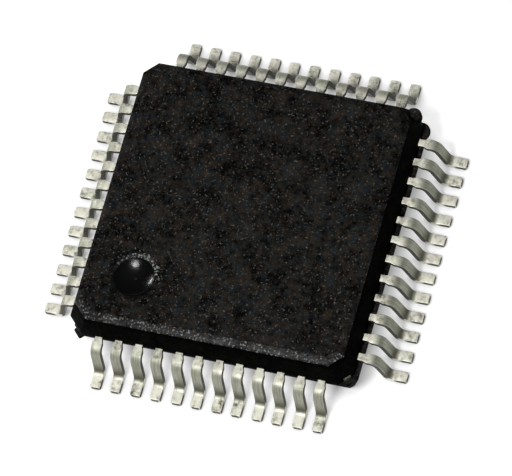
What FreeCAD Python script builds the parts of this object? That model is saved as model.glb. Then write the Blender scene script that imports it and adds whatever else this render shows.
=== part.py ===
import FreeCAD, Part
import math
import os

import Sketcher

# Low-profile quad flat pack, 48 gull-wing leads on a 0.5 mm pitch, millimetres.
# The origin is on the seating plane under the middle of the lead tips, +Z up.
# Front is -Y and the index dimple is over its left end, where lead_01 is.

sizes = {
    # lead rows
    "leads_per_side": 12,
    "lead_pitch": 0.5,
    "row_margin": 0.75,           # last lead's centre line to the side of the body
    "lead_reach": 1.0,            # side of the body to the lead tip
    "lead_width": 0.25,
    "neck_width": 0.18,           # inside the body, and out to the sheared stubs of the dam bar
    "neck_length": 0.06,
    "flare_length": 0.1,
    "shoulder_length": 0.2,       # flat top of a lead, side of the body to the bend
    "bend_radius": 0.14,          # on the inside of both bends
    "form_angle": 77,             # slope of the leg
    # lead frame
    "frame_thickness": 0.127,
    "frame_height": 0.81,         # seating plane to the underside of the lead frame
    "finger_straight": 0.35,      # side of the body to where a finger turns inwards
    "tip_setback": 1.05,          # side of the body to the inner ends of the fingers
    "tip_pitch": 0.36,
    "pad_clearance": 0.3,         # inner ends of the fingers to the die pad
    "pad_downset": 0.15,
    "tie_bar_width": 0.19,
    "tie_bar_level": 0.12,        # tie bar beyond the pad's corner before it rises
    "tie_bar_rise": 0.2,
    # moulded body
    "standoff": 0.13,
    "body_height": 1.42,
    "draft_angle": 18,
    "crown_width": 0.16,          # soft roll-off round the top face
    "crown_drop": 0.04,
    "upper_corner_cut": 0.32,
    "first_corner_cut": 0.38,     # upper half, at the corner of lead_01
    "lower_corner_cut": 0.22,
    "gate_corner_cut": 0.4,       # lower half, at the gate
    "upper_half_shift": -0.07,    # the two mould halves closed a little off register
    "lower_half_shift": 0.05,
    "dimple_diameter": 1.0,
    "dimple_depth": 0.16,
    "dimple_inset": 1.37,
    "gate_radius": 0.2,           # stub of the broken moulding gate
    "gate_inset": 0.23,
    "gate_level": 0.22,
    "gate_height": 0.22,
    "lobe_radius": 0.23,          # resin of the gate's run on the lower half
    "lobe_inset": 0.19,
    "lobe_setback": 0.42,
    "lobe_thickness": 0.11,
    "flash_level": 0.33,          # frame height down to the resin flash at the lead_01 corner
    "flash_thickness": 0.12,
    "flash_length": 0.35,
    # die, its adhesive and its wires
    "die_margin": 0.6,            # edge of the die pad to the die
    "die_thickness": 0.28,
    "attach_thickness": 0.025,
    "attach_spread": 0.05,        # adhesive squeezed out round the die
    "bond_inset": 0.08,           # edge of the die to its bond pads
    "bond_pitch": 0.22,
    "stitch_setback": 0.1,        # inner end of a finger to the wire on it
    "wire_diameter": 0.025,
    "loop_height": 0.12,
}

quarter_turn = 90

doc = FreeCAD.newDocument("quad_flat_pack")
sheet = doc.addObject("Spreadsheet::Sheet", "dims")
for row, (alias, number) in enumerate(sizes.items(), start=1):
    sheet.set(f"A{row}", str(number))
    sheet.setAlias(f"A{row}", alias)
doc.recompute()

# places that several pieces share, as expressions on the sheet
body_half = "((dims.leads_per_side - 1) * dims.lead_pitch / 2 + dims.row_margin)"
frame_top = "(dims.frame_height + dims.frame_thickness)"
body_top = "(dims.standoff + dims.body_height)"
crown_foot = f"({body_top} - dims.crown_drop)"
taper_height = f"({crown_foot} - {frame_top})"
finger_tip = f"({body_half} - dims.tip_setback)"
pad_half = f"({finger_tip} - dims.pad_clearance)"
pad_level = "(dims.frame_height - dims.pad_downset)"
pad_top = f"({pad_level} + dims.frame_thickness)"
die_half = f"({pad_half} - dims.die_margin)"
die_floor = f"({pad_top} + dims.attach_thickness)"
lead_count = 4 * round(sheet.leads_per_side)


def number(expression):
    return float(sheet.evalExpression(expression))


def bind(item, **bindings):
    # a double underscore in a name stands for the dot of a property path
    for path, expression in bindings.items():
        item.setExpression(path.replace("__", "."), expression)


def new_body(name):
    body = doc.addObject("PartDesign::Body", name)
    body.Label = name
    return body


def new_sketch(body, name, plane, **offset):
    sketch = body.newObject("Sketcher::SketchObject", f"{body.Name}_{name}")
    origin_plane = next(item for item in body.Origin.OriginFeatures if item.Role == plane)
    sketch.AttachmentSupport = (origin_plane, [""])
    sketch.MapMode = "FlatFace"
    bind(sketch, **{f"AttachmentOffset__Base__{axis}": value for axis, value in offset.items()})
    return sketch


def pin_point(sketch, index, position, corner, name):
    # holds one end of an edge at the two distances that its expressions give
    for kind, axis, expression in (("DistanceX", "x", corner[0]), ("DistanceY", "y", corner[1])):
        row = sketch.addConstraint(
            Sketcher.Constraint(kind, -1, 1, index, position, number(expression)))
        sketch.renameConstraint(row, f"{name}_{axis}")
        sketch.setExpression(f".Constraints.{name}_{axis}", expression)


def draw_outline(sketch, corners):
    # a closed outline of straight edges, each corner pinned to the sheet
    points = [FreeCAD.Vector(number(x), number(y), 0) for x, y in corners]
    count = len(points)
    for index, point in enumerate(points):
        sketch.addGeometry(Part.LineSegment(point, points[(index + 1) % count]), False)
    for index in range(count):
        sketch.addConstraint(
            Sketcher.Constraint("Coincident", index, 2, (index + 1) % count, 1))
        pin_point(sketch, index, 1, corners[index], f"corner_{index}")


def pad(body, sketch, length, taper=None, symmetric=False, downwards=False):
    feature = body.newObject("PartDesign::Pad", f"{sketch.Name}_pad")
    feature.Profile = sketch
    feature.SideType = "Symmetric" if symmetric else "One side"
    feature.Reversed = downwards
    feature.setExpression("Length", length)
    if taper:
        feature.setExpression("TaperAngle", taper)
    sketch.Visibility = False
    return feature


def cut_square(half, corner_cuts, shift):
    # a square with its corners cut off, moved sideways by the shift of its mould half
    signs = ((1, -1), (1, 1), (-1, 1), (-1, -1))
    corners = []
    for (sign_x, sign_y), corner_cut in zip(signs, corner_cuts):
        near = f"({half} - {corner_cut})"
        on_side = (f"{sign_x} * {half} + {shift}", f"{sign_y} * {near}")
        on_end = (f"{sign_x} * {near} + {shift}", f"{sign_y} * {half}")
        corners += [on_end, on_side] if sign_x * sign_y < 0 else [on_side, on_end]
    return corners


def make_mould_blank():
    # the resin as the cavity forms it, before anything inside is taken from it
    body = new_body("mould_blank")
    upper_cuts = ["dims.upper_corner_cut"] * 3 + ["dims.first_corner_cut"]
    lower_cuts = ["dims.lower_corner_cut"] * 4
    lower_cuts[1] = "dims.gate_corner_cut"
    upper_outline = cut_square(body_half, upper_cuts, "dims.upper_half_shift")
    lower_outline = cut_square(body_half, lower_cuts, "dims.lower_half_shift")

    sketch = new_sketch(body, "lower", "XY_Plane", z="dims.frame_height")
    draw_outline(sketch, lower_outline)
    pad(body, sketch, "dims.frame_height - dims.standoff", "-dims.draft_angle", downwards=True)

    sketch = new_sketch(body, "belt", "XY_Plane", z="dims.frame_height")
    draw_outline(sketch, upper_outline)
    pad(body, sketch, "dims.frame_thickness")

    sketch = new_sketch(body, "upper", "XY_Plane", z=frame_top)
    draw_outline(sketch, upper_outline)
    pad(body, sketch, taper_height, "-dims.draft_angle")

    # a mitred offset of the outline shortens its corner cuts by this share
    taper = f"({taper_height} * tan(dims.draft_angle))"
    crown_half = f"({body_half} - {taper})"
    crown_cuts = [f"({cut} - {taper} * (2 - sqrt(2)))" for cut in upper_cuts]
    sketch = new_sketch(body, "crown", "XY_Plane", z=crown_foot)
    draw_outline(sketch, cut_square(crown_half, crown_cuts, "dims.upper_half_shift"))
    pad(body, sketch, "dims.crown_drop", "-atan(dims.crown_width / dims.crown_drop)")

    add_gate_remains(body)
    add_flash(body)
    sink_dimple(body)
    return body


def draw_disc(body, name, level, centre, radius):
    sketch = new_sketch(body, name, "XY_Plane", z=level)
    place = FreeCAD.Vector(number(centre[0]), number(centre[1]), 0)
    circle = Part.Circle(place, FreeCAD.Vector(0, 0, 1), sheet.get(radius))
    sketch.addGeometry(circle, False)
    pin_point(sketch, 0, 3, centre, "centre")
    row = sketch.addConstraint(Sketcher.Constraint("Radius", 0, sheet.get(radius)))
    sketch.renameConstraint(row, "radius")
    sketch.setExpression(".Constraints.radius", f"dims.{radius}")
    return sketch


def add_gate_remains(body):
    # what is left of the gate at the back right corner, rounded on both mould halves
    stub = (f"{body_half} - dims.gate_inset + dims.upper_half_shift",
            f"{body_half} - dims.gate_inset")
    level = "dims.frame_height + dims.gate_level"
    pad(body, draw_disc(body, "gate", level, stub, "gate_radius"), "dims.gate_height")
    lobe = (f"{body_half} - dims.lobe_inset + dims.lower_half_shift",
            f"{body_half} - dims.lobe_setback")
    sketch = draw_disc(body, "lobe", "dims.frame_height", lobe, "lobe_radius")
    pad(body, sketch, "dims.lobe_thickness", downwards=True)


def add_flash(body):
    # resin that ran out under the tie bar at the corner of lead_01
    outer = f"((2 * {body_half} - dims.lower_corner_cut) / sqrt(2))"
    inner = f"({outer} - dims.flash_length)"
    half = "dims.tie_bar_width / 2"
    ends = [(inner, half), (outer, half), (outer, f"-{half}"), (inner, f"-{half}")]
    corners = [(f"({across} - {out}) / sqrt(2)", f"-({across} + {out}) / sqrt(2)")
               for out, across in ends]
    sketch = new_sketch(body, "flash", "XY_Plane", z="dims.frame_height - dims.flash_level")
    draw_outline(sketch, corners)
    pad(body, sketch, "dims.flash_thickness")


def sink_dimple(body):
    # a shallow bowl turned about its own upright axis, at the corner of lead_01
    away = f"({body_half} - dims.dimple_inset)"
    sketch = new_sketch(body, "dimple", "XZ_Plane", x=f"-{away}", y=body_top, z=away)
    rim = sheet.dimple_diameter / 2
    depth = sheet.dimple_depth
    ball = (rim ** 2 + depth ** 2) / (2 * depth)
    centre = FreeCAD.Vector(0, ball - depth, 0)
    rim_point = FreeCAD.Vector(rim, 0, 0)
    floor_point = FreeCAD.Vector(0, -depth, 0)
    circle = Part.Circle(centre, FreeCAD.Vector(0, 0, 1), ball)
    start = -math.pi / 2
    end = math.atan2(rim_point.y - centre.y, rim_point.x - centre.x)
    sketch.addGeometry(Part.ArcOfCircle(circle, start, end), False)
    sketch.addGeometry(Part.LineSegment(rim_point, FreeCAD.Vector()), False)
    sketch.addGeometry(Part.LineSegment(FreeCAD.Vector(), floor_point), False)
    sketch.addConstraint(Sketcher.Constraint("Coincident", 0, 2, 1, 1))
    sketch.addConstraint(Sketcher.Constraint("Coincident", 1, 2, 2, 1))
    sketch.addConstraint(Sketcher.Constraint("Coincident", 2, 2, 0, 1))
    pin_point(sketch, 1, 1, ("dims.dimple_diameter / 2", "0"), "rim")
    pin_point(sketch, 1, 2, ("0", "0"), "middle")
    pin_point(sketch, 2, 2, ("0", "-dims.dimple_depth"), "floor")
    # the middle of the ball stays over the floor, so the floor is level
    sketch.addConstraint(Sketcher.Constraint("PointOnObject", 0, 3, -2))
    groove = body.newObject("PartDesign::Groove", f"{sketch.Name}_groove")
    groove.Profile = sketch
    groove.ReferenceAxis = (sketch, ["V_Axis"])


def make_lead(index):
    # one lead in its own frame: +Y runs outwards, Z is the height over the board
    side, slot = divmod(index, round(sheet.leads_per_side))
    body = new_body(f"lead_{index + 1:02d}")
    draw_leg(body)
    draw_finger(body, slot)
    turn = FreeCAD.Rotation(FreeCAD.Vector(0, 0, 1), (side + 2) * quarter_turn)
    body.Placement = FreeCAD.Placement(FreeCAD.Vector(), turn)
    along = f"((dims.leads_per_side - 1) / 2 - {slot}) * dims.lead_pitch"
    bind(body, Placement__Base__x=f"{along} * cos({(side + 2) * quarter_turn})",
         Placement__Base__y=f"{along} * sin({(side + 2) * quarter_turn})")
    return body


def draw_leg(body):
    # shoulder, sloping leg and foot, drawn from the side with sharp corners
    half_turn = "tan(dims.form_angle / 2)"
    outer_radius = "(dims.bend_radius + dims.frame_thickness)"
    flare_end = f"({body_half} + dims.neck_length + dims.flare_length)"
    tip = f"({body_half} + dims.lead_reach)"
    top_bend = f"({body_half} + dims.shoulder_length + {outer_radius} * {half_turn})"
    under_bend = f"({top_bend} - dims.frame_thickness * {half_turn})"
    run = "dims.frame_height / tan(dims.form_angle)"
    outline = [
        (flare_end, "dims.frame_height"),
        (under_bend, "dims.frame_height"),
        (f"{under_bend} + {run}", "0"),
        (tip, "0"),
        (tip, "dims.frame_thickness"),
        (f"{top_bend} + {run}", "dims.frame_thickness"),
        (top_bend, frame_top),
        (flare_end, frame_top),
    ]
    sketch = new_sketch(body, "leg", "YZ_Plane")
    draw_outline(sketch, outline)
    leg = pad(body, sketch, "dims.lead_width", symmetric=True)
    doc.recompute([sketch, leg])
    round_bends(body, leg, "inside", outline[1], outline[5], "dims.bend_radius")
    round_bends(body, body.Tip, "outside", outline[6], outline[2], outer_radius)


def round_bends(body, base, name, first, second, radius):
    # the two bends that turn about the same side of the strip
    corners = [(number(y), number(z)) for y, z in (first, second)]
    edges = []
    for count, edge in enumerate(base.Shape.Edges, start=1):
        middle = edge.CenterOfMass
        crosswise = abs(edge.Vertexes[0].X - edge.Vertexes[-1].X) > sheet.lead_width / 2
        at_corner = any(math.hypot(middle.y - y, middle.z - z) < edge.Length / 100
                        for y, z in corners)
        if crosswise and at_corner:
            edges.append(f"Edge{count}")
    fillet = body.newObject("PartDesign::Fillet", f"{body.Name}_{name}")
    fillet.Base = (base, edges)
    fillet.setExpression("Radius", radius)
    doc.recompute([fillet])


def draw_finger(body, slot):
    # the flat part from above: inner finger, neck and flare up to the leg
    inward = f"(((dims.leads_per_side - 1) / 2 - {slot}) * (dims.tip_pitch - dims.lead_pitch))"
    turn = f"({body_half} - dims.finger_straight)"
    neck_end = f"({body_half} + dims.neck_length)"
    side = [
        ("dims.neck_width / 2", finger_tip, inward),
        ("dims.neck_width / 2", turn, "0"),
        ("dims.neck_width / 2", neck_end, "0"),
        ("dims.lead_width / 2", f"{neck_end} + dims.flare_length", "0"),
    ]
    right = [(f"{centre} + {half}", y) for half, y, centre in side]
    left = [(f"{centre} - {half}", y) for half, y, centre in reversed(side)]
    sketch = new_sketch(body, "finger", "XY_Plane", z="dims.frame_height")
    draw_outline(sketch, right + left)
    pad(body, sketch, "dims.frame_thickness")


def make_die_pad():
    # the pad with its four tie bars, which climb to the level of the fingers
    body = new_body("die_pad")
    corner = f"({pad_half} * sqrt(2))"
    sketch = new_sketch(body, "paddle", "XY_Plane", z=pad_level)
    draw_outline(sketch, [(corner, "0"), ("0", corner), (f"-{corner}", "0"), ("0", f"-{corner}")])
    pad(body, sketch, "dims.frame_thickness")

    # the bars end flush with the corner cuts of the upper half
    near = f"((2 * {body_half} - dims.upper_corner_cut + dims.upper_half_shift) / sqrt(2))"
    far = f"((2 * {body_half} - dims.upper_corner_cut - dims.upper_half_shift) / sqrt(2))"
    first = f"((2 * {body_half} - dims.first_corner_cut - dims.upper_half_shift) / sqrt(2))"
    draw_tie_bars(body, "XZ_Plane", f"-{first}", near)
    draw_tie_bars(body, "YZ_Plane", f"-{near}", far)
    eighth_turn = FreeCAD.Rotation(FreeCAD.Vector(0, 0, 1), quarter_turn / 2)
    body.Placement = FreeCAD.Placement(FreeCAD.Vector(), eighth_turn)
    return body


def draw_tie_bars(body, plane, start, end):
    # two opposite bars as one bent strip that crosses the pad
    low = f"({pad_half} * sqrt(2) + dims.tie_bar_level)"
    high = f"({low} + dims.tie_bar_rise)"
    under = [(start, "dims.frame_height"), (f"-{high}", "dims.frame_height"), (f"-{low}", pad_level),
             (low, pad_level), (high, "dims.frame_height"), (end, "dims.frame_height")]
    over = [(x, f"{z} + dims.frame_thickness") for x, z in reversed(under)]
    sketch = new_sketch(body, f"bars_{plane[:2].lower()}", plane)
    draw_outline(sketch, under + over)
    pad(body, sketch, "dims.tie_bar_width", symmetric=True)


def make_slab(name, half, level, thickness):
    # a square slab centred over the pad
    slab = doc.addObject("Part::Box", name)
    slab.Label = name
    bind(slab, Length=f"2 * {half}", Width=f"2 * {half}", Height=thickness,
         Placement__Base__x=f"-{half}", Placement__Base__y=f"-{half}", Placement__Base__z=level)
    return slab


def make_wire(side, slot):
    # one bond wire, drawn in its own upright plane: up from the die, then down to its finger
    place = (sheet.leads_per_side - 1) / 2 - slot
    half = sheet.wire_diameter / 2
    upright = FreeCAD.Vector(0, 0, 1)
    ball = FreeCAD.Vector(place * sheet.bond_pitch, number(f"{die_half} - dims.bond_inset"),
                          number(f"{die_floor} + dims.die_thickness"))
    stitch = FreeCAD.Vector(place * sheet.tip_pitch, number(f"{finger_tip} + dims.stitch_setback"),
                            number(frame_top))
    along = FreeCAD.Vector(stitch.x - ball.x, stitch.y - ball.y, 0)
    span = along.Length
    along.normalize()
    sideways = upright.cross(along)
    drop = ball.z + sheet.loop_height - stitch.z
    slope = math.atan2(drop, span)
    mitre = half * math.cos(slope) / (1 - math.sin(slope))
    foot = half / math.sin(slope)
    outline = [
        (-half, 0),
        (-half, sheet.loop_height + mitre),
        (span + foot, stitch.z - ball.z),
        (span - foot, stitch.z - ball.z),
        (half, sheet.loop_height - mitre),
        (half, 0),
    ]
    corners = [ball + along * run + upright * rise - sideways * half for run, rise in outline]
    face = Part.Face(Part.makePolygon(corners + corners[:1]))
    wire = face.extrude(sideways * sheet.wire_diameter)
    wire.rotate(FreeCAD.Vector(), upright, (side + 2) * quarter_turn)
    return wire


def make_bond_wires():
    wires = [make_wire(*divmod(index, round(sheet.leads_per_side))) for index in range(lead_count)]
    group = doc.addObject("Part::Feature", "bond_wires")
    group.Label = "bond_wires"
    group.Shape = Part.makeCompound(wires)
    return group


def make_moulded_body(leads, others):
    # the resin flows round all that it seals in, so each of those is cut from it
    lead_set = doc.addObject("Part::Compound", "lead_set")
    lead_set.Links = leads
    resin = make_mould_blank()
    for step, piece in enumerate([lead_set] + others, start=1):
        cut = doc.addObject("Part::Cut", f"resin_{step}")
        cut.Base = resin
        cut.Tool = piece
        resin = cut
    resin.Label = "moulded_body"
    return resin


def check_document():
    for item in doc.Objects:
        if "Invalid" in item.State or "Error" in item.State:
            raise RuntimeError(f"{item.Label} failed: {item.State}")


def write_parts(pieces):
    os.makedirs("parts", exist_ok=True)
    for piece in pieces:
        shape = piece.Shape
        if shape.isNull() or not shape.isValid() or not shape.Solids:
            raise RuntimeError(f"{piece.Label} has no valid solid")
    for piece in pieces:
        piece.Shape.exportStep(f"parts/{piece.Label}.step")


leads = [make_lead(index) for index in range(lead_count)]
die_pad = make_die_pad()
die_attach = make_slab("die_attach", f"({die_half} + dims.attach_spread)", pad_top,
                       "dims.attach_thickness")
silicon_die = make_slab("silicon_die", die_half, die_floor, "dims.die_thickness")
bond_wires = make_bond_wires()
inner_pieces = [die_pad, die_attach, silicon_die, bond_wires]
moulded_body = make_moulded_body(leads, inner_pieces)
doc.recompute()
check_document()
write_parts(leads + inner_pieces + [moulded_body])
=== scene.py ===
import math
import random

import bpy
from mathutils import Matrix, Vector


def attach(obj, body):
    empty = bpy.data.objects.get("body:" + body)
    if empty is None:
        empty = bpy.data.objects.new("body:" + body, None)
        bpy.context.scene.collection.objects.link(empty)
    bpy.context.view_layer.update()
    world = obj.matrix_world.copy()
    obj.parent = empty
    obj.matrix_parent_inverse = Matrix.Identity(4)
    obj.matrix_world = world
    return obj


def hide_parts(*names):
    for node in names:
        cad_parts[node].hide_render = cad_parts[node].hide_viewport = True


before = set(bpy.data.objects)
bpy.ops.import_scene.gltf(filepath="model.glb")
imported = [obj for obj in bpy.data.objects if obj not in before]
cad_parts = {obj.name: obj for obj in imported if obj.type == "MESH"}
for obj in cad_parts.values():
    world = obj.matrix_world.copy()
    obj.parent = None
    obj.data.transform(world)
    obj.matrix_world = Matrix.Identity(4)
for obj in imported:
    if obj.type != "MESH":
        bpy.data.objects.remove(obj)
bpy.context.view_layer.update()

mm = 0.001  # the values of sizes and places are in millimetres, and angles in degrees
mergeGap = 0.0005 * mm  # far under the finest edge of the part
levelGap = 0.001 * mm  # what still counts as the same level
alongAxis = 0.9  # a face whose normal has this share of an axis looks along it


# working in object and edit mode

def focusOn(piece):
    if bpy.context.object and bpy.context.object.mode != "OBJECT":
        bpy.ops.object.mode_set(mode="OBJECT")
    bpy.ops.object.select_all(action="DESELECT")
    piece.select_set(True)
    bpy.context.view_layer.objects.active = piece


def pickIn(piece, kind, items, test):
    # the select mode is set before edit mode starts, or a picked edge would pick its whole face
    bpy.ops.object.mode_set(mode="OBJECT")
    mesh = piece.data
    for part in (mesh.vertices, mesh.edges, mesh.polygons):
        part.foreach_set("select", [False] * len(part))
    for item in items:
        item.select = test(item)
    bpy.context.tool_settings.mesh_select_mode = [kind == name for name in ("point", "edge", "face")]
    bpy.ops.object.mode_set(mode="EDIT")


def pickFaces(piece, test):
    pickIn(piece, "face", piece.data.polygons, test)


def pickEdges(piece, test):
    points = piece.data.vertices
    pickIn(piece, "edge", piece.data.edges,
           lambda edge: test(points[edge.vertices[0]].co, points[edge.vertices[1]].co))


def pickPoints(piece, test):
    pickIn(piece, "point", piece.data.vertices, lambda point: test(point.co))


def applyPlace(piece):
    focusOn(piece)
    bpy.ops.object.transform_apply(location=True, rotation=True, scale=True)


def addBlock(name, size, place):
    bpy.ops.mesh.primitive_cube_add(size=1, location=[value * mm for value in place])
    block = bpy.context.object
    block.name = name
    block.data.name = name
    block.scale = [value * mm for value in size]
    applyPlace(block)
    return block


def applyModifier(piece, kind, **values):
    focusOn(piece)
    modifier = piece.modifiers.new(kind.title(), kind)
    for key, value in values.items():
        setattr(modifier, key, value)
    bpy.ops.object.modifier_apply(modifier=modifier.name)


def closeUp(piece):
    # merges doubles and turns every face outwards
    focusOn(piece)
    bpy.ops.object.mode_set(mode="EDIT")
    bpy.ops.mesh.select_all(action="SELECT")
    bpy.ops.mesh.remove_doubles(threshold=mergeGap)
    bpy.ops.mesh.normals_make_consistent(inside=False)
    bpy.ops.object.mode_set(mode="OBJECT")


def roundEdges(piece, width, angle=40, segments=3):
    applyModifier(piece, "BEVEL", width=width * mm, segments=segments, limit_method="ANGLE",
                  angle_limit=math.radians(angle))


def smoothShading(piece, angle=35):
    focusOn(piece)
    bpy.ops.object.shade_smooth_by_angle(angle=math.radians(angle))


dimpleShape = {
    "place": (-2.15, -2.07),
    "diameter": 1.0,
    "depth": 0.16,
    "top": 1.55,
    "facets": 96,
    "rimRound": 0.09,
    "rimSlack": 0.004,  # how far off its circle an edge of the rim may lie
}


# node groups that several materials share

def newGroup(name, inputs, outputs):
    group = bpy.data.node_groups.new(name, "ShaderNodeTree")
    for label, kind, value in inputs:
        socket = group.interface.new_socket(label, in_out="INPUT", socket_type=kind)
        if value is not None:
            socket.default_value = value
    for label, kind in outputs:
        group.interface.new_socket(label, in_out="OUTPUT", socket_type=kind)
    return group, group.nodes.new("NodeGroupInput"), group.nodes.new("NodeGroupOutput")


def addMath(tree, operation, first, second=None, third=None):
    node = tree.nodes.new("ShaderNodeMath")
    node.operation = operation
    for index, value in enumerate((first, second, third)):
        if isinstance(value, (int, float)):
            node.inputs[index].default_value = value
        elif value is not None:
            tree.links.new(value, node.inputs[index])
    return node.outputs[0]


def addRange(tree, value, low, high, outLow=0.0, outHigh=1.0):
    node = tree.nodes.new("ShaderNodeMapRange")
    node.inputs["From Min"].default_value = low
    node.inputs["From Max"].default_value = high
    node.inputs["To Min"].default_value = outLow
    node.inputs["To Max"].default_value = outHigh
    tree.links.new(value, node.inputs["Value"])
    return node.outputs["Result"]


def addMix(tree, mask, first, second):
    node = tree.nodes.new("ShaderNodeMix")
    node.data_type = "RGBA"
    # the factor and the two colours, by number, as the node's numbers and vectors have the same names
    for socket, value in zip((node.inputs[0], node.inputs[6], node.inputs[7]), (mask, first, second)):
        if isinstance(value, (int, float, tuple)):
            socket.default_value = value
        else:
            tree.links.new(value, socket)
    return node.outputs[2]


def addNoise(tree, vector, scale, detail=2.0, roughness=0.5):
    node = tree.nodes.new("ShaderNodeTexNoise")
    node.inputs["Detail"].default_value = detail
    node.inputs["Roughness"].default_value = roughness
    if isinstance(scale, (int, float)):
        node.inputs["Scale"].default_value = scale
    else:
        tree.links.new(scale, node.inputs["Scale"])
    tree.links.new(vector, node.inputs["Vector"])
    return node.outputs["Fac"]


def splitAxes(tree, vector):
    node = tree.nodes.new("ShaderNodeSeparateXYZ")
    tree.links.new(vector, node.inputs[0])
    return node.outputs["X"], node.outputs["Y"], node.outputs["Z"]


noiseMiddle = (0.35, 0.65)  # most values of a noise lie between these
grainShape = {
    "middleScale": 0.4,  # the other noises' scales, as shares of the fine one's
    "coarseScale": 0.12,
    "fleckScale": 1.1,
    "middleHeight": 0.7,  # how much the middle noise adds to the height
    "middleTone": 1.5,  # how much the two coarser noises add to the speckle
    "coarseTone": 1.2,
    "speckle": (1.5, 2.22),  # the sum of the noises where it is darkest, and where lightest
    "fleckRise": 0.14,  # how far over its floor a fleck is at full strength
}


def makeSparkGrain():
    # the pitted face that a spark-eroded mould leaves, with the odd bright fleck of filler, which also
    # stands in as a painted glint
    shape = grainShape
    group, inlet, outlet = newGroup(
        "sparkGrain",
        [("Vector", "NodeSocketVector", None), ("Grain per metre", "NodeSocketFloat", 20000.0),
         ("Fleck floor", "NodeSocketFloat", 0.64)],
        [("Height", "NodeSocketFloat"), ("Speckle", "NodeSocketFloat"), ("Fleck", "NodeSocketFloat")])
    vector, density = inlet.outputs["Vector"], inlet.outputs["Grain per metre"]
    middleDensity = addMath(group, "MULTIPLY", density, shape["middleScale"])
    coarseDensity = addMath(group, "MULTIPLY", density, shape["coarseScale"])
    fleckDensity = addMath(group, "MULTIPLY", density, shape["fleckScale"])
    fine = addNoise(group, vector, density, detail=2.0, roughness=0.7)
    middle = addNoise(group, vector, middleDensity, detail=2.0, roughness=0.6)
    coarse = addNoise(group, vector, coarseDensity, detail=1.0, roughness=0.5)
    flecks = addNoise(group, vector, fleckDensity, detail=1.0, roughness=0.5)
    height = addMath(group, "MULTIPLY_ADD", middle, shape["middleHeight"], fine)
    group.links.new(height, outlet.inputs["Height"])
    finer = addMath(group, "MULTIPLY_ADD", middle, shape["middleTone"], fine)
    mixed = addMath(group, "MULTIPLY_ADD", coarse, shape["coarseTone"], finer)
    group.links.new(addRange(group, mixed, *shape["speckle"]), outlet.inputs["Speckle"])
    above = addMath(group, "SUBTRACT", flecks, inlet.outputs["Fleck floor"])
    group.links.new(addRange(group, above, 0.0, shape["fleckRise"]), outlet.inputs["Fleck"])
    return group


def makeBlotches():
    # slow changes over a surface, as from handling, flux and plating
    group, inlet, outlet = newGroup(
        "slowBlotches",
        [("Vector", "NodeSocketVector", None), ("Blotches per metre", "NodeSocketFloat", 1500.0)],
        [("Mask", "NodeSocketFloat")])
    vector, density = inlet.outputs["Vector"], inlet.outputs["Blotches per metre"]
    noise = addNoise(group, vector, density, detail=3.0, roughness=0.6)
    group.links.new(addRange(group, noise, *noiseMiddle), outlet.inputs["Mask"])
    return group


def makeLeadZones():
    # how far a point of a lead stands out from the middle of the package, and how high
    group, inlet, outlet = newGroup(
        "leadZones",
        [("Vector", "NodeSocketVector", None)],
        [("Outward", "NodeSocketFloat"), ("Height", "NodeSocketFloat")])
    x, y, z = splitAxes(group, inlet.outputs["Vector"])
    furthest = addMath(group, "MAXIMUM", addMath(group, "ABSOLUTE", x), addMath(group, "ABSOLUTE", y))
    group.links.new(addMath(group, "MULTIPLY", furthest, 1 / mm), outlet.inputs["Outward"])
    group.links.new(addMath(group, "MULTIPLY", z, 1 / mm), outlet.inputs["Height"])
    return group


# painted highlight and painted shade round the dimple: a bright band of flecks past the far rim, a dark band
# at the near rim
rimPaintedLightShape = {
    "bright": (0.26, 0.04),  # from where it starts to where it is full, past the rim
    "paintedShadeBand": (0.14, -0.06),
    "asideShare": 0.6,  # how much a step to the right counts against one to the back
    "farSide": (0.1, 0.5),  # from where it starts to where it is full, past the dimple's middle
    "nearSide": (0.15, -0.3),
}


def makeDimpleRimPaintedLight():
    # painted light round the index dimple: a painted highlight of bright flecks just past its far rim, and
    # painted shade at the near one
    group, inlet, outlet = newGroup(
        "dimpleRimPaintedLight",
        [("Vector", "NodeSocketVector", None)],
        [("Mask", "NodeSocketFloat"), ("PaintedShade", "NodeSocketFloat")])
    x, y, _ = splitAxes(group, inlet.outputs["Vector"])
    middleX, middleY = dimpleShape["place"]
    aside = addMath(group, "MULTIPLY_ADD", x, 1 / mm, -middleX)
    behind = addMath(group, "MULTIPLY_ADD", y, 1 / mm, -middleY)
    behindSquared = addMath(group, "MULTIPLY", behind, behind)
    reach = addMath(group, "SQRT", addMath(group, "MULTIPLY_ADD", aside, aside, behindSquared))
    away = addMath(group, "MULTIPLY_ADD", aside, rimPaintedLightShape["asideShare"], behind)
    rim = dimpleShape["diameter"] / 2
    for label, band, half in (("Mask", "bright", "farSide"), ("PaintedShade", "paintedShadeBand", "nearSide")):
        start, full = rimPaintedLightShape[band]
        rimPaintedLight = addRange(group, reach, rim + start, rim + full)
        onHalf = addRange(group, away, *rimPaintedLightShape[half])
        group.links.new(addMath(group, "MULTIPLY", rimPaintedLight, onHalf), outlet.inputs[label])
    return group


sparkGrain = makeSparkGrain()
slowBlotches = makeBlotches()
leadZones = makeLeadZones()
dimpleRimPaintedLight = makeDimpleRimPaintedLight()
print("node groups ready")


# materials

def newMaterial(name):
    material = bpy.data.materials.new(name)
    material.use_nodes = True
    tree = material.node_tree
    tree.nodes.clear()
    output = tree.nodes.new("ShaderNodeOutputMaterial")
    shader = tree.nodes.new("ShaderNodeBsdfPrincipled")
    tree.links.new(shader.outputs["BSDF"], output.inputs["Surface"])
    place = tree.nodes.new("ShaderNodeTexCoord").outputs["Object"]
    return material, tree, shader, place


def useGroup(tree, group, vector, **values):
    node = tree.nodes.new("ShaderNodeGroup")
    node.node_tree = group
    tree.links.new(vector, node.inputs["Vector"])
    for key, value in values.items():
        node.inputs[key.replace("_", " ")].default_value = value
    return node


def addBump(tree, shader, height, strength, depth):
    bump = tree.nodes.new("ShaderNodeBump")
    bump.inputs["Strength"].default_value = strength
    bump.inputs["Distance"].default_value = depth * mm
    tree.links.new(height, bump.inputs["Height"])
    tree.links.new(bump.outputs["Normal"], shader.inputs["Normal"])


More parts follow.
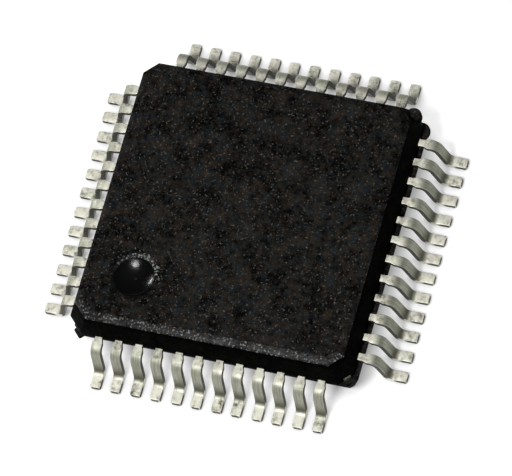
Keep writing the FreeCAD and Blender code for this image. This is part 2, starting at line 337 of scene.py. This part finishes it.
mouldLook = {
    "deepAndShade": (0.0, 0.0, 0.0, 1),  # the colour in the pits, and of the painted shade
    "fleckFloor": 0.63,  # the noise value from which a fleck shows
    "warm": (0.0225, 0.016, 0.0102, 1),
    "cool": (0.0105, 0.0148, 0.0172, 1),
    # flecks of filler, which also stand in as painted glints
    "fleckAndGlint": (0.075, 0.073, 0.067, 1),
    # brighter flecks past the dimple's far rim: a painted highlight
    "rimGlintFleck": (0.19, 0.2, 0.19, 1),
    "rimGlintShare": 0.07,  # how much lower that floor is beside the dimple
    "grainPerMetre": 18000.0,
    "tintPerMetre": 6000.0,
    "roughness": (0.5, 0.7),
    "specular": 0.04,
    "bump": 0.5,
    "grainDepth": 0.008,
}
# a lighter copy for the front crown: painted sheen
litCrownLook = {
    **mouldLook,
    "warm": (0.03, 0.0265, 0.022, 1),
    "cool": (0.021, 0.0235, 0.0255, 1),
    "fleckAndGlint": (0.17, 0.169, 0.163, 1),
    "fleckFloor": 0.565,
    "roughness": (0.4, 0.55),
    "specular": 0.1,
    "bump": 0.6,
}
# a darker copy for the sides: painted shade, darkest up at the crown
shadedSideLook = {
    "deepAndShade": (0.0002, 0.0002, 0.0002, 1),
    "paintedShadeBelowCrown": (1.32, 1.44),  # where the painted shade below the crown starts, and where it is full
    "fleckFloor": 0.66,
    "warm": (0.0022, 0.0021, 0.0016, 1),
    "cool": (0.0016, 0.0017, 0.0016, 1),
    "fleckAndGlint": (0.006, 0.006, 0.005, 1),
    "rimGlintFleck": (0.006, 0.006, 0.005, 1),
    "rimGlintShare": 0.0,
    "grainPerMetre": 26000.0,
    "tintPerMetre": 5000.0,
    "roughness": (0.6, 0.75),
    "specular": 0.01,
    "bump": 0.3,
    "grainDepth": 0.005,
}


def makeMouldMaterial(name, look):
    material, tree, shader, place = newMaterial(name)
    grain = useGroup(tree, sparkGrain, place, Grain_per_metre=look["grainPerMetre"])
    rimLightZones = useGroup(tree, dimpleRimPaintedLight, place)
    # painted highlight flecks past the dimple's far rim, and painted shade at its near rim
    rimPaintedLight = rimLightZones.outputs["Mask"]
    fleckFloor = addRange(tree, rimPaintedLight, 0, 1, look["fleckFloor"], look["fleckFloor"] - look["rimGlintShare"])
    tree.links.new(fleckFloor, grain.inputs["Fleck floor"])
    tints = useGroup(tree, slowBlotches, place, Blotches_per_metre=look["tintPerMetre"])
    light = addMix(tree, tints.outputs["Mask"], look["warm"], look["cool"])
    base = addMix(tree, grain.outputs["Speckle"], look["deepAndShade"], light)
    fleckAndGlint = addMix(tree, rimPaintedLight, look["fleckAndGlint"], look["rimGlintFleck"])
    flecked = addMix(tree, grain.outputs["Fleck"], base, fleckAndGlint)
    flecked = addMix(tree, rimLightZones.outputs["PaintedShade"], flecked, look["deepAndShade"])
    # painted shade on the sides, darkening up to the crown
    if "paintedShadeBelowCrown" in look:
        height = useGroup(tree, leadZones, place).outputs["Height"]
        shade = addRange(tree, height, *look["paintedShadeBelowCrown"])
        flecked = addMix(tree, shade, flecked, look["deepAndShade"])
    tree.links.new(flecked, shader.inputs["Base Color"])
    low, high = look["roughness"]
    tree.links.new(addRange(tree, grain.outputs["Speckle"], 0, 1, high, low), shader.inputs["Roughness"])
    shader.inputs["Specular IOR Level"].default_value = look["specular"]
    addBump(tree, shader, grain.outputs["Height"], look["bump"], look["grainDepth"])
    return material


dimpleLook = {
    "colour": (0.0003, 0.0004, 0.0004, 1),
    "blotchesPerMetre": 7000.0,
    "roughness": (0.17, 0.24),
    "specular": 0.19,
    "bump": 0.16,
    "waveDepth": 0.01,
}


def makeDimpleMaterial():
    # the index dimple is moulded against a polished pin
    material, tree, shader, place = newMaterial("polishedDimple")
    blotches = useGroup(tree, slowBlotches, place, Blotches_per_metre=dimpleLook["blotchesPerMetre"])
    shader.inputs["Base Color"].default_value = dimpleLook["colour"]
    low, high = dimpleLook["roughness"]
    tree.links.new(addRange(tree, blotches.outputs["Mask"], 0, 1, low, high), shader.inputs["Roughness"])
    shader.inputs["Specular IOR Level"].default_value = dimpleLook["specular"]
    addBump(tree, shader, blotches.outputs["Mask"], dimpleLook["bump"], dimpleLook["waveDepth"])
    return material


platingLook = {
    "bright": (0.8, 0.79, 0.675, 1),
    "dull": (0.12, 0.12, 0.08, 1),
    # the leg's tones are painted shade with the forming tool's streaks; the heel tone is painted shade too
    "paintedLegShade": (0.24, 0.245, 0.19, 1),
    "paintedLegShadeStreak": (0.4, 0.405, 0.33, 1),
    "paintedHeelShade": (0.13, 0.13, 0.095, 1),
    "bend": (3.65, 3.84),  # how far out the painted shade of the leg starts, and where it is full
    "heelStart": (4.0, 4.06),
    "heelEnd": (4.17, 4.08),  # the same for the other end, seen from the foot
    "grainPerMetre": 15000.0,
    "blotchesPerMetre": 8000.0,
    "streaksPerMetre": 40000.0,
    "streakStretch": 0.04,  # how slowly they change down a lead, against across it
    "roughness": (0.52, 0.68),
    "metallic": (0.4, 0.65),
    "bump": 0.3,
    "grainDepth": 0.006,
}


def makeStreaks():
    # fine scratches that run down a lead from the forming tool
    group, inlet, outlet = newGroup(
        "formingStreaks",
        [("Vector", "NodeSocketVector", None), ("Streaks per metre", "NodeSocketFloat", 40000.0)],
        [("Mask", "NodeSocketFloat")])
    x, y, z = splitAxes(group, inlet.outputs["Vector"])
    reachX = addMath(group, "ABSOLUTE", x)
    reachY = addMath(group, "ABSOLUTE", y)
    # the lesser of the two runs across a lead, on all four sides
    across = addMath(group, "MINIMUM", reachX, reachY)
    along = addMath(group, "MAXIMUM", reachX, reachY)
    stretch = platingLook["streakStretch"]
    join = group.nodes.new("ShaderNodeCombineXYZ")
    group.links.new(across, join.inputs["X"])
    group.links.new(addMath(group, "MULTIPLY", along, stretch), join.inputs["Y"])
    group.links.new(addMath(group, "MULTIPLY", z, stretch), join.inputs["Z"])
    noise = addNoise(group, join.outputs[0], inlet.outputs["Streaks per metre"], detail=2.0, roughness=0.6)
    group.links.new(addRange(group, noise, *noiseMiddle), outlet.inputs["Mask"])
    return group


formingStreaks = makeStreaks()


def makePlatingMaterial():
    # matt tin over the copper: pale on the flats; the leg is painted darker as painted shade, with the
    # streaks of the forming tool, and darkest at the heel
    material, tree, shader, place = newMaterial("tinPlate")
    look = platingLook
    zones = useGroup(tree, leadZones, place)
    grain = useGroup(tree, sparkGrain, place, Grain_per_metre=look["grainPerMetre"])
    blotches = useGroup(tree, slowBlotches, place, Blotches_per_metre=look["blotchesPerMetre"])
    streaks = useGroup(tree, formingStreaks, place, Streaks_per_metre=look["streaksPerMetre"])
    worn = addMath(tree, "MULTIPLY", grain.outputs["Speckle"], blotches.outputs["Mask"])
    flat = addMix(tree, worn, look["bright"], look["dull"])
    outward = zones.outputs["Outward"]
    past = addRange(tree, outward, *look["bend"])
    atHeel = addRange(tree, outward, *look["heelStart"])
    before = addRange(tree, outward, *look["heelEnd"])
    # painted shade on the leg, with forming streaks, and darker painted shade at the heel
    slope = addMix(tree, streaks.outputs["Mask"], look["paintedLegShade"], look["paintedLegShadeStreak"])
    leg = addMix(tree, atHeel, slope, look["paintedHeelShade"])
    onLeg = addMath(tree, "MULTIPLY", past, before)
    tree.links.new(addMix(tree, onLeg, flat, leg), shader.inputs["Base Color"])
    low, high = look["roughness"]
    tree.links.new(addRange(tree, grain.outputs["Speckle"], 0, 1, low, high), shader.inputs["Roughness"])
    low, high = look["metallic"]
    tree.links.new(addRange(tree, onLeg, 0, 1, low, high), shader.inputs["Metallic"])
    addBump(tree, shader, grain.outputs["Height"], look["bump"], look["grainDepth"])
    return material


cutLook = {
    "tones": {
        # the dark tones of the cut tips and stamped sides are painted shade; the tie bar ends keep the
        # copper's tone
        "tipCutPaintedShade": ((0.012, 0.01, 0.008, 1), (0.07, 0.055, 0.04, 1)),
        "stampedSidePaintedShade": ((0.012, 0.012, 0.009, 1), (0.075, 0.075, 0.06, 1)),
        "tieBarCut": ((0.06, 0.06, 0.045, 1), (0.42, 0.4, 0.31, 1)),
    },
    "blotchesPerMetre": 16000.0,
    "metallic": 0.7,
    "roughness": 0.55,
    "bump": 0.4,
    "burrDepth": 0.006,
}
# a painted glint on the stamped side at the heel
paintedHeelGlint = {
    "colour": (0.82, 0.82, 0.74, 1),
    "start": (4.0, 4.05),  # how far out it starts, and where it is full
    "end": (4.26, 4.16),
    "below": (0.2, 0.14),  # the same from above
}


def makeCutMaterial(name, withPaintedGlint=False):
    # where the press cut the strip, its metal is rougher and has tarnished; on the cut tips and the stamped
    # sides the dark tone is painted shade
    material, tree, shader, place = newMaterial(name)
    blotches = useGroup(tree, slowBlotches, place, Blotches_per_metre=cutLook["blotchesPerMetre"])
    tone = addMix(tree, blotches.outputs["Mask"], *cutLook["tones"][name])
    if withPaintedGlint:
        # painted glint: the stamped side is painted bright at the heel
        zones = useGroup(tree, leadZones, place)
        past = addRange(tree, zones.outputs["Outward"], *paintedHeelGlint["start"])
        before = addRange(tree, zones.outputs["Outward"], *paintedHeelGlint["end"])
        low = addRange(tree, zones.outputs["Height"], *paintedHeelGlint["below"])
        glintMask = addMath(tree, "MULTIPLY", addMath(tree, "MULTIPLY", past, before), low)
        tone = addMix(tree, glintMask, tone, paintedHeelGlint["colour"])
    tree.links.new(tone, shader.inputs["Base Color"])
    shader.inputs["Metallic"].default_value = cutLook["metallic"]
    shader.inputs["Roughness"].default_value = cutLook["roughness"]
    addBump(tree, shader, blotches.outputs["Mask"], cutLook["bump"], cutLook["burrDepth"])
    return material


innerLooks = {
    "die_pad": {
        "finish": "rolledCopper",
        "tones": ((0.72, 0.42, 0.3, 1), (0.6, 0.36, 0.26, 1)),
        "metallic": 1.0,
        "roughness": (0.3, 0.42),
        "grainPerMetre": 9000.0,
    },
    "die_attach": {
        "finish": "silverEpoxy",
        "tones": ((0.62, 0.62, 0.6, 1), (0.5, 0.5, 0.48, 1)),
        "metallic": 0.4,
        "roughness": (0.4, 0.6),
        "grainPerMetre": 30000.0,
    },
    "silicon_die": {
        "finish": "silicon",
        "tones": ((0.3, 0.31, 0.36, 1), (0.26, 0.27, 0.33, 1)),
        "metallic": 0.7,
        "roughness": (0.12, 0.2),
        "grainPerMetre": 4000.0,
    },
    "bond_wires": {
        "finish": "goldWire",
        "tones": ((0.92, 0.68, 0.28, 1), (0.84, 0.6, 0.24, 1)),
        "metallic": 1.0,
        "roughness": (0.2, 0.3),
        "grainPerMetre": 30000.0,
    },
}
innerGrain = {"bump": 0.15, "depth": 0.003}


def makeInnerMaterial(look):
    # plain finishes of the pieces sealed inside
    material, tree, shader, place = newMaterial(look["finish"])
    grain = useGroup(tree, sparkGrain, place, Grain_per_metre=look["grainPerMetre"])
    tree.links.new(addMix(tree, grain.outputs["Speckle"], *look["tones"]), shader.inputs["Base Color"])
    shader.inputs["Metallic"].default_value = look["metallic"]
    low, high = look["roughness"]
    tree.links.new(addRange(tree, grain.outputs["Speckle"], 0, 1, low, high), shader.inputs["Roughness"])
    addBump(tree, shader, grain.outputs["Height"], innerGrain["bump"], innerGrain["depth"])
    return material


mouldTop = makeMouldMaterial("mouldCompound", mouldLook)
mouldCrownPaintedSheen = makeMouldMaterial("mouldCrownPaintedSheen", litCrownLook)
mouldSidePaintedShade = makeMouldMaterial("mouldSidePaintedShade", shadedSideLook)
polishedDimple = makeDimpleMaterial()
tinPlate = makePlatingMaterial()
tipCutPaintedShade = makeCutMaterial("tipCutPaintedShade")
stampedSidePaintedShade = makeCutMaterial("stampedSidePaintedShade", withPaintedGlint=True)
tieBarCut = makeCutMaterial("tieBarCut")
innerFinishes = {node: makeInnerMaterial(look) for node, look in innerLooks.items()}
print("materials ready")


# the moulded body: two halves that met a little off register

halfShape = {
    "span": 7.0,
    "partingHeight": 0.81,
    "beltHeight": 0.127,
    "draft": 18,
    "upperShift": -0.07,
    "upperCorners": {"frontRight": 0.32, "backRight": 0.32, "backLeft": 0.32, "frontLeft": 0.38},
    "cornerZone": 3.4,  # the upright edges that lie further out than this are the corners
    "sideTop": 1.478,
    "cornerLean": 0.09,  # how far each end of a corner cut slides back along its side at the crown
    "crownSteps": [(0.03, 0.025), (0.05, 0.022), (0.06, 0.016), (0.06, 0.009), (0.03, 0.0)],  # in and up
    "lowerShift": 0.05,
    "lowerCorners": {"frontRight": 0.22, "backRight": 0.4, "backLeft": 0.22, "frontLeft": 0.22},
    "lowerBelt": 0.02,
    "bottom": 0.13,
    "edgeRound": 0.018,
    "roundedFrom": 24,  # the edges that turn by more degrees than this are rounded
    "smoothAngle": 28,
}
cornerSigns = {"frontRight": (1, -1), "backRight": (1, 1), "backLeft": (-1, 1), "frontLeft": (-1, -1)}


def cutCorners(piece, cuts):
    for corner, cut in cuts.items():
        signX, signY = cornerSigns[corner]

        def standsThere(first, second):
            upright = abs(first.x - second.x) + abs(first.y - second.y) < mergeGap
            return upright and min(first.x * signX, first.y * signY) > halfShape["cornerZone"] * mm
        pickEdges(piece, standsThere)
        bpy.ops.mesh.bevel(offset=cut * mm, offset_type="OFFSET", segments=1)


def stepIn(inset, rise):
    # carries the picked face in and away, as the side of a mould cavity runs
    bpy.ops.mesh.inset(thickness=inset * mm, depth=0)
    bpy.ops.transform.translate(value=(0, 0, rise * mm))


def leanCorners(half, level, extra):
    # the corner faces lean in more than the sides do
    shift = halfShape["upperShift"] * mm
    for signX, signY in cornerSigns.values():
        for slide in ((-signX, 0, 0), (0, -signY, 0)):

            def onCorner(point):
                x, y = (point.x - shift) * signX, point.y * signY
                atLevel = abs(point.z - level * mm) < mergeGap
                return atLevel and min(x, y) > 0 and (x < y) == (slide[0] != 0)
            pickPoints(half, onCorner)
            bpy.ops.transform.translate(value=[value * extra * mm for value in slide])


def makeUpperHalf():
    shape = halfShape
    belt = shape["beltHeight"]
    middle = shape["partingHeight"] + belt / 2
    half = addBlock("upperMouldHalf", (shape["span"], shape["span"], belt), (shape["upperShift"], 0, middle))
    cutCorners(half, shape["upperCorners"])
    pickFaces(half, lambda face: face.normal.z > alongAxis)
    climb = shape["sideTop"] - shape["partingHeight"] - belt
    stepIn(climb * math.tan(math.radians(shape["draft"])), climb)
    leanCorners(half, shape["sideTop"], shape["cornerLean"])
    pickFaces(half, lambda face: face.normal.z > alongAxis)
    for inset, rise in shape["crownSteps"]:
        stepIn(inset, rise)
    closeUp(half)
    return half


def makeLowerHalf():
    shape = halfShape
    belt = shape["lowerBelt"]
    middle = shape["partingHeight"] - belt / 2
    half = addBlock("lowerMouldHalf", (shape["span"], shape["span"], belt), (shape["lowerShift"], 0, middle))
    cutCorners(half, shape["lowerCorners"])
    pickFaces(half, lambda face: face.normal.z < -alongAxis)
    fall = shape["partingHeight"] - belt - shape["bottom"]
    stepIn(fall * math.tan(math.radians(shape["draft"])), -fall)
    closeUp(half)
    return half


def sinkDimple(half):
    rim = dimpleShape["diameter"] / 2
    depth = dimpleShape["depth"]
    ball = (rim ** 2 + depth ** 2) / (2 * depth)
    x, y = dimpleShape["place"]
    centre = (x * mm, y * mm, (dimpleShape["top"] - depth + ball) * mm)
    facets = dimpleShape["facets"]
    bpy.ops.mesh.primitive_uv_sphere_add(segments=facets, ring_count=facets, radius=ball * mm,
                                         location=centre)
    cutter = bpy.context.object
    applyPlace(cutter)
    applyModifier(half, "BOOLEAN", object=cutter, operation="DIFFERENCE", solver="EXACT")
    bpy.data.objects.remove(cutter)


def easeRim(half):
    # the rim of the dimple is a little rounded
    x, y = dimpleShape["place"]
    rim = dimpleShape["diameter"] / 2

    def onRim(first, second):
        apart = [abs(math.hypot(point.x / mm - x, point.y / mm - y) - rim) for point in (first, second)]
        atTop = min(first.z, second.z) > dimpleShape["top"] * mm - levelGap
        return atTop and max(apart) < dimpleShape["rimSlack"]
    pickEdges(half, onRim)
    bpy.ops.mesh.bevel(offset=dimpleShape["rimRound"] * mm, offset_type="OFFSET", segments=4)
    bpy.ops.object.mode_set(mode="OBJECT")


# what is left of the gate at the back right corner, and of flash at the front left one
cornerRemains = {
    "gateStub": {"radius": 0.2, "place": (3.2, 3.27), "levels": (1.03, 1.25), "round": 0.05, "facets": 48},
    "gateLobe": {"radius": 0.23, "place": (3.36, 3.08), "levels": (0.7, 0.806), "round": 0.03, "facets": 48},
}
flashShape = {"size": (0.36, 0.26, 0.15), "outerEnd": 4.83, "level": 0.55, "round": 0.04, "turn": -135}


def makeCornerRemains():
    pieces = []
    for name, shape in cornerRemains.items():
        low, high = shape["levels"]
        x, y = shape["place"]
        bpy.ops.mesh.primitive_cylinder_add(vertices=shape["facets"], radius=shape["radius"] * mm,
                                            depth=(high - low) * mm,
                                            location=(x * mm, y * mm, (low + high) / 2 * mm))
        stub = bpy.context.object
        stub.name = name
        applyPlace(stub)
        roundEdges(stub, shape["round"], segments=4)
        pieces.append(stub)
    middle = flashShape["outerEnd"] - flashShape["size"][0] / 2
    flash = addBlock("flash", flashShape["size"], (middle, 0, flashShape["level"]))
    roundEdges(flash, flashShape["round"])
    flash.rotation_euler.z = math.radians(flashShape["turn"])
    applyPlace(flash)
    return pieces + [flash]


# which finish a face of the body gets, by its normal and its place
finishZones = {
    "flatFrom": 0.999,  # a normal that rises this much is the flat top's
    "topFrom": 1.35,
    "bowlEdge": 0.03,  # the dimple's polish ends this far inside its rim
    "sideBelow": 0.62,  # a normal that rises less is a side's
    "frontBelow": -0.05,  # a normal that leans this much to the front is the front crown's, which is painted lighter as painted sheen
}


def finishBody(body):
    for finish in (mouldTop, polishedDimple, mouldSidePaintedShade, mouldCrownPaintedSheen):
        body.data.materials.append(finish)
    zones = finishZones
    x, y = dimpleShape["place"]
    bowl = dimpleShape["diameter"] / 2 - zones["bowlEdge"]
    for face in body.data.polygons:
        reach = math.hypot(face.center.x / mm - x, face.center.y / mm - y)
        tilted = face.normal.z < zones["flatFrom"] and face.center.z > zones["topFrom"] * mm
        if tilted and reach < bowl:
            face.material_index = 1
        elif face.normal.z < zones["sideBelow"]:
            # the sides take the darker copy: painted shade
            face.material_index = 2
        elif tilted and face.normal.y < zones["frontBelow"]:
            # the front crown takes the lighter copy: painted sheen
            face.material_index = 3
        else:
            face.material_index = 0


def makeMouldedBody():
    upper = makeUpperHalf()
    lower = makeLowerHalf()
    for half in (upper, lower):
        roundEdges(half, halfShape["edgeRound"], halfShape["roundedFrom"])
    for extra in [lower] + makeCornerRemains():
        applyModifier(upper, "BOOLEAN", object=extra, operation="UNION", solver="EXACT")
        bpy.data.objects.remove(extra)
    sinkDimple(upper)
    easeRim(upper)
    finishBody(upper)
    upper.name = upper.data.name = "mouldedBody"
    smoothShading(upper, halfShape["smoothAngle"])
    return upper


mouldedBody = makeMouldedBody()
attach(mouldedBody, "root")
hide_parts("moulded_body")
print("moulded body ready")


# the tie bars show their cut ends in the corners of the upper half
tieBarEnds = {"length": 0.04, "width": 0.19, "proud": 0.006, "round": 0.012}


def cornerReach(corner):
    # from the middle to the corner's face at the belt, to the micron
    signX, _ = cornerSigns[corner]
    across = halfShape["span"] + signX * halfShape["upperShift"] - halfShape["upperCorners"][corner]
    return round(across / math.sqrt(2), 3)


def makeTieBarEnd(corner):
    length, height = tieBarEnds["length"], halfShape["beltHeight"]
    middle = cornerReach(corner) + tieBarEnds["proud"] - length / 2
    level = halfShape["partingHeight"] + height / 2
    end = addBlock(f"tieBarEnd.{corner}", (length, tieBarEnds["width"], height), (middle, 0, level))
    roundEdges(end, tieBarEnds["round"])
    signX, signY = cornerSigns[corner]
    end.rotation_euler.z = math.atan2(signY, signX)
    applyPlace(end)
    # the front left end takes the dark tip finish: painted shade
    end.data.materials.append(tipCutPaintedShade if corner == "frontLeft" else tieBarCut)
    smoothShading(end)
    return end


for cornerName in cornerSigns:
    tieBarEnd = makeTieBarEnd(cornerName)
    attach(tieBarEnd, "root")
print("tie bar ends ready")


# one lead, modelled once as it is formed: stamped strip, shoulder, leg and foot

leadShape = {
    "perSide": 12,
    "pitch": 0.5,
    "tipPitch": 0.36,  # that of the inner fingers, which fan in towards the die
    "width": 0.25,
    "neckWidth": 0.18,
    "thickness": halfShape["beltHeight"],
    "frameHeight": halfShape["partingHeight"],
    "innerTip": 2.45,
    "fingerTurn": 3.15,
    "neckEnd": 3.56,
    "flareEnd": 3.66,
    "bendStart": 3.7,
    "bendRadius": 0.14,
    "formAngle": 77,
    "tip": 4.5,
    "bendSteps": 8,
    "tipRound": 0.035,
    "edgeRound": 0.014,
    "cutDepth": 0.002,  # the faces within this of the tip are the cut
    "sideTilt": 0.8,  # a normal that points this much to a side is a stamped side's
}


def extrudeStrip(run=0.0, fall=0.0):
    bpy.ops.mesh.extrude_region_move(TRANSFORM_OT_translate={"value": (0, run * mm, -fall * mm)})


def bendStrip(centre, angle):
    # turns the end of the strip about a line across it, a step at a time
    steps = leadShape["bendSteps"]
    for _ in range(steps):
        extrudeStrip()
        bpy.ops.transform.rotate(value=math.radians(angle) / steps, orient_axis="X",
                                 center_override=(0, centre[0] * mm, centre[1] * mm))


def makeFirstLead():
    shape = leadShape
    thick, radius, angle = shape["thickness"], shape["bendRadius"], shape["formAngle"]
    slope = math.radians(angle)
    middle = shape["frameHeight"] + thick / 2
    lead = addBlock("firstLead", (shape["neckWidth"], shape["fingerTurn"] - shape["innerTip"], thick),
                    (0, (shape["fingerTurn"] + shape["innerTip"]) / 2, middle))
    pickFaces(lead, lambda face: face.normal.y > alongAxis)
    extrudeStrip(shape["neckEnd"] - shape["fingerTurn"])
    extrudeStrip(shape["flareEnd"] - shape["neckEnd"])
    bpy.ops.transform.resize(value=(shape["width"] / shape["neckWidth"], 1, 1))
    extrudeStrip(shape["bendStart"] - shape["flareEnd"])
    outer = radius + thick
    shoulder = (shape["bendStart"], shape["frameHeight"] - radius)
    bendStrip(shoulder, angle)
    # the underside leaves the first bend here, and meets the second one there
    top = shoulder[1] + radius * math.cos(slope)
    low = outer - outer * math.cos(slope)
    leg = (top - low) / math.sin(slope)
    extrudeStrip(leg * math.cos(slope), leg * math.sin(slope))
    heel = shoulder[0] + radius * math.sin(slope) + leg * math.cos(slope) + outer * math.sin(slope)
    bendStrip((heel, outer), -angle)
    extrudeStrip(shape["tip"] - heel)
    closeUp(lead)

    def atTipCorner(first, second):
        return min(first.y, second.y) > shape["tip"] * mm - levelGap and abs(first.x - second.x) < mergeGap
    pickEdges(lead, atTipCorner)
    bpy.ops.mesh.bevel(offset=shape["tipRound"] * mm, offset_type="OFFSET", segments=3)
    bpy.ops.object.mode_set(mode="OBJECT")
    roundEdges(lead, shape["edgeRound"])
    for finish in (tinPlate, tipCutPaintedShade, stampedSidePaintedShade):
        lead.data.materials.append(finish)
    for face in lead.data.polygons:
        if face.center.y > (shape["tip"] - shape["cutDepth"]) * mm:
            face.material_index = 1
        elif abs(face.normal.x) > shape["sideTilt"]:
            face.material_index = 2
    smoothShading(lead)
    return lead


sideTurns = (180, -90, 0, 90)  # the front, right, back and left row
leadSpread = {"seed": 48, "yaw": 0.5, "pullBack": 0.02, "leastPull": 0.3, "sideways": 0.006}


def placeLead(first, index):
    # copies the first lead to its slot, its inner finger turned towards the middle
    side, slot = divmod(index, leadShape["perSide"])
    away = (leadShape["perSide"] - 1) / 2 - slot
    lead = first.copy()
    lead.data = first.data.copy()
    bpy.context.collection.objects.link(lead)
    lead.name = lead.data.name = f"lead{index + 1:02d}"
    focusOn(lead)
    midFinger = (leadShape["innerTip"] + leadShape["fingerTurn"]) / 2 * mm
    pickPoints(lead, lambda point: point.y < midFinger)
    inward = away * (leadShape["tipPitch"] - leadShape["pitch"])
    bpy.ops.transform.translate(value=(inward * mm, 0, 0))
    bpy.ops.object.mode_set(mode="OBJECT")
    chance = random.Random(leadSpread["seed"] + index)
    yaw = math.radians(chance.uniform(-leadSpread["yaw"], leadSpread["yaw"]))
    aside = chance.uniform(-leadSpread["sideways"], leadSpread["sideways"])
    back = chance.uniform(leadSpread["leastPull"], 1) * leadSpread["pullBack"]
    root = Vector((0, halfShape["span"] / 2 * mm, 0))
    turnAtRoot = Matrix.Translation(root) @ Matrix.Rotation(yaw, 4, "Z") @ Matrix.Translation(-root)
    toSlot = Matrix.Translation(Vector(((away * leadShape["pitch"] + aside) * mm, -back * mm, 0)))
    toSide = Matrix.Rotation(math.radians(sideTurns[side]), 4, "Z")
    lead.matrix_world = toSide @ toSlot @ turnAtRoot
    applyPlace(lead)
    return lead


firstLead = makeFirstLead()
for leadIndex in range(len(sideTurns) * leadShape["perSide"]):
    lead = placeLead(firstLead, leadIndex)
    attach(lead, "root")
    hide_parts(f"lead_{leadIndex + 1:02d}")
bpy.data.objects.remove(firstLead)
print("leads ready")


# the sealed pieces keep their solids and get their finishes

for node, finish in innerFinishes.items():
    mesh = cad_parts[node].data
    mesh.materials.clear()
    mesh.materials.append(finish)
print("inner finishes ready")


# floor, light and camera

floorLook = {
    "colour": (0.44, 0.44, 0.44, 1),
    "lift": 0.79,  # the glow that makes the open floor white
    "reach": 400,
    "contactReach": 0.45,
    "contactDepth": 1.2,
    "contactSamples": 16,
}


def addSeenRays(tree):
    # 1 for what the camera sees, and for what it sees in metal and through glass
    path = tree.nodes.new("ShaderNodeLightPath")
    seen = addMath(tree, "MAXIMUM", path.outputs["Is Camera Ray"], path.outputs["Is Glossy Ray"])
    return addMath(tree, "MAXIMUM", seen, path.outputs["Is Transmission Ray"])


def makeFloor():
    bpy.ops.mesh.primitive_plane_add(size=floorLook["reach"] * mm, location=(0, 0, 0))
    floor = bpy.context.object
    floor.name = "floor"
    material = bpy.data.materials.new("paleFloor")
    material.use_nodes = True
    tree = material.node_tree
    tree.nodes.clear()
    output = tree.nodes.new("ShaderNodeOutputMaterial")
    matt = tree.nodes.new("ShaderNodeBsdfDiffuse")
    matt.inputs["Color"].default_value = floorLook["colour"]
    glow = tree.nodes.new("ShaderNodeEmission")
    # painted contact shade: the lift fades where the leads and the body stand close over the floor
    contact = tree.nodes.new("ShaderNodeAmbientOcclusion")
    contact.samples = floorLook["contactSamples"]
    contact.inputs["Distance"].default_value = floorLook["contactReach"] * mm
    openness = addMath(tree, "POWER", contact.outputs["AO"], floorLook["contactDepth"])
    lift = addMath(tree, "MULTIPLY", openness, floorLook["lift"])
    tree.links.new(addMath(tree, "MULTIPLY", addSeenRays(tree), lift), glow.inputs["Strength"])
    both = tree.nodes.new("ShaderNodeAddShader")
    tree.links.new(matt.outputs[0], both.inputs[0])
    tree.links.new(glow.outputs[0], both.inputs[1])
    tree.links.new(both.outputs[0], output.inputs["Surface"])
    floor.data.materials.append(material)


lights = {
    "key": {"from": (-0.112, -0.433, 0.89), "distance": 90, "size": (28, 28), "watts": 0.075},
    "side": {"from": (-0.9, 0.32, 0.25), "distance": 100, "size": (26, 11), "watts": 0.03},
}
worldLight = {
    "horizon": 0.085,
    "zenith": 0.27,
    "rise": 1.8,
    "backdrop": (0.06, 0.045),  # white up to the lower height, gone at the upper one
}


def addLight(name, values):
    data = bpy.data.lights.new(name, "AREA")
    data.shape = "ELLIPSE"
    data.size, data.size_y = [side * mm for side in values["size"]]
    data.energy = values["watts"]
    lamp = bpy.data.objects.new(name, data)
    direction = Vector(values["from"]).normalized()
    lamp.location = direction * values["distance"] * mm
    lamp.rotation_euler = direction.to_track_quat("Z", "Y").to_euler()
    bpy.context.scene.collection.objects.link(lamp)


def setWorld():
    world = bpy.data.worlds.new("studio")
    world.use_nodes = True
    tree = world.node_tree
    tree.nodes.clear()
    output = tree.nodes.new("ShaderNodeOutputWorld")
    background = tree.nodes.new("ShaderNodeBackground")
    background.inputs["Color"].default_value = (1, 1, 1, 1)
    # soft light from overhead that fades towards the horizon
    _, _, height = splitAxes(tree, tree.nodes.new("ShaderNodeTexCoord").outputs["Generated"])
    climb = addMath(tree, "POWER", addMath(tree, "MAXIMUM", height, 0.0), worldLight["rise"])
    sky = addRange(tree, climb, 0, 1, worldLight["horizon"], worldLight["zenith"])
    backdrop = addRange(tree, height, *worldLight["backdrop"])
    shown = addMath(tree, "MULTIPLY", addSeenRays(tree), backdrop)
    tree.links.new(addMath(tree, "MAXIMUM", sky, shown), background.inputs["Strength"])
    tree.links.new(background.outputs[0], output.inputs["Surface"])
    bpy.context.scene.world = world


# fitted to the photograph, with its three turns in radians
cameraView = {
    "azimuth": 0.686,
    "elevation": 1.135,
    "roll": -0.451,
    "distance": 142.351,
    "pixelsPerMm": 42.569,
    "across": 0.128,
    "up": -0.320,
    "targetHeight": 0.8,
    "pictureWidth": 512,
    "sensorWidth": 36,
    "clip": (10, 2000),
}


def addCamera():
    view = cameraView
    azimuth, elevation, roll = view["azimuth"], view["elevation"], view["roll"]
    back = Vector((math.sin(azimuth) * math.cos(elevation), -math.cos(azimuth) * math.cos(elevation),
                   math.sin(elevation)))
    level = (-back).cross(Vector((0, 0, 1))).normalized()
    upright = level.cross(-back)
    right = level * math.cos(roll) + upright * math.sin(roll)
    up = upright * math.cos(roll) - level * math.sin(roll)
    target = Vector((0, 0, view["targetHeight"])) + right * view["across"] + up * view["up"]
    data = bpy.data.cameras.new("camera")
    data.sensor_width = view["sensorWidth"]
    data.sensor_fit = "HORIZONTAL"
    data.lens = view["pixelsPerMm"] * view["distance"] / view["pictureWidth"] * view["sensorWidth"]
    data.clip_start, data.clip_end = [value * mm for value in view["clip"]]
    camera = bpy.data.objects.new("camera", data)
    turned = Matrix((right, up, back)).transposed().to_4x4()
    camera.matrix_world = Matrix.Translation((target + back * view["distance"]) * mm) @ turned
    bpy.context.scene.collection.objects.link(camera)
    bpy.context.scene.camera = camera


makeFloor()
for lightName, lightValues in lights.items():
    addLight(lightName, lightValues)
setWorld()
addCamera()
bpy.context.scene.view_settings.view_transform = "Standard"
print("floor, light and camera ready")
